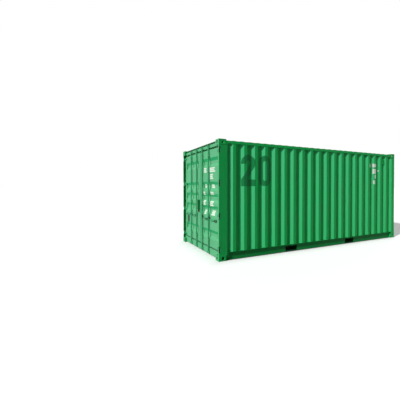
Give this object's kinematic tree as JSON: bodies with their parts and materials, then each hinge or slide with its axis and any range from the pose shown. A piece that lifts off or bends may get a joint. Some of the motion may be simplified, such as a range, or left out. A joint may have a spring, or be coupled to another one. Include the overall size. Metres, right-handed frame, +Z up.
{
  "type": "shipping container",
  "caption": "Steel dry freight container with corrugated walls, swing doors with locking bars and handles, corner castings and fork pockets.",
  "frame": {"origin": "centre of the footprint at the underside of the bottom corner castings", "axes": "+X along the length from the door end to the front wall, +Y across the width to the left of someone facing the doors from outside, +Z up"},
  "size_m": [6.058, 2.438, 2.591],
  "materials": {
    "wall_green": "satin",
    "door_green": "satin",
    "bar_green": "satin",
    "casting_green": "satin",
    "underframe": "matt",
    "gasket_rubber": "matt",
    "plywood": "matt",
    "plate": "satin"
  },
  "bodies": {
    "container": {"bottom_casting_front_left": "casting_green", "bottom_casting_front_right": "casting_green", "bottom_casting_rear_left": "casting_green", "bottom_casting_rear_right": "casting_green", "bottom_side_rail_left": "wall_green", "bottom_side_rail_right": "wall_green", "cross_members": "underframe", "door_header": "door_green", "door_sill": "door_green", "floor_boards": "plywood", "fork_pocket_front": "underframe", "fork_pocket_rear": "underframe", "front_bottom_rail": "wall_green", "front_post_left": "wall_green", "front_post_right": "wall_green", "front_top_rail": "wall_green", "front_wall": "wall_green", "header_keepers": "door_green", "rear_post_left": "wall_green", "rear_post_right": "wall_green", "roof": "wall_green", "roof_end_plates": "wall_green", "side_wall_left": "wall_green", "side_wall_right": "wall_green", "sill_keepers": "door_green", "top_casting_front_left": "casting_green", "top_casting_front_right": "casting_green", "top_casting_rear_left": "casting_green", "top_casting_rear_right": "casting_green", "top_side_rail_left": "wall_green", "top_side_rail_right": "wall_green", "vents": "wall_green"},
    "door_left": {"door_frame_left": "door_green", "door_panel_left": "door_green", "door_gasket_left": "gasket_rubber", "hinge_blades_left": "door_green", "bar_guides_left": "door_green", "handle_retainers_left": "door_green", "data_plate": "plate", "lock_box": "door_green"},
    "inner_bar_left": {"inner_bar_left": "bar_green"},
    "inner_handle_left": {"inner_handle_left": "bar_green"},
    "outer_bar_left": {"outer_bar_left": "bar_green"},
    "outer_handle_left": {"outer_handle_left": "bar_green"},
    "door_right": {"door_frame_right": "door_green", "door_panel_right": "door_green", "door_gasket_right": "gasket_rubber", "hinge_blades_right": "door_green", "bar_guides_right": "door_green", "handle_retainers_right": "door_green"},
    "inner_bar_right": {"inner_bar_right": "bar_green"},
    "inner_handle_right": {"inner_handle_right": "bar_green"},
    "outer_bar_right": {"outer_bar_right": "bar_green"},
    "outer_handle_right": {"outer_handle_right": "bar_green"}
  },
  "joints": [
    {"name": "door_left_hinge", "type": "hinge", "parent": "container", "child": "door_left", "pos_m": [-3.005, 1.195, 1.3], "axis": [0, 0, -1], "range_deg": [0, 262]},
    {"name": "inner_bar_left_turn", "type": "hinge", "parent": "door_left", "child": "inner_bar_left", "pos_m": [-3.001, 0.19, 1.3], "axis": [0, 0, -1], "range_deg": [-100, 0]},
    {"name": "inner_handle_left_lift", "type": "hinge", "parent": "inner_bar_left", "child": "inner_handle_left", "pos_m": [-3.001, 0.228, 0.87], "axis": [-1, 0, 0], "range_deg": [-28, 0]},
    {"name": "outer_bar_left_turn", "type": "hinge", "parent": "door_left", "child": "outer_bar_left", "pos_m": [-3.001, 0.59, 1.3], "axis": [0, 0, -1], "range_deg": [-100, 0]},
    {"name": "outer_handle_left_lift", "type": "hinge", "parent": "outer_bar_left", "child": "outer_handle_left", "pos_m": [-3.001, 0.628, 0.87], "axis": [-1, 0, 0], "range_deg": [-28, 0]},
    {"name": "door_right_hinge", "type": "hinge", "parent": "container", "child": "door_right", "pos_m": [-3.005, -1.195, 1.3], "axis": [0, 0, 1], "range_deg": [0, 262]},
    {"name": "inner_bar_right_turn", "type": "hinge", "parent": "door_right", "child": "inner_bar_right", "pos_m": [-3.001, -0.19, 1.3], "axis": [0, 0, 1], "range_deg": [-100, 0]},
    {"name": "inner_handle_right_lift", "type": "hinge", "parent": "inner_bar_right", "child": "inner_handle_right", "pos_m": [-3.001, -0.228, 0.87], "axis": [1, 0, 0], "range_deg": [-28, 0]},
    {"name": "outer_bar_right_turn", "type": "hinge", "parent": "door_right", "child": "outer_bar_right", "pos_m": [-3.001, -0.59, 1.3], "axis": [0, 0, 1], "range_deg": [-100, 0]},
    {"name": "outer_handle_right_lift", "type": "hinge", "parent": "outer_bar_right", "child": "outer_handle_right", "pos_m": [-3.001, -0.628, 0.87], "axis": [1, 0, 0], "range_deg": [-28, 0]}
  ]
}
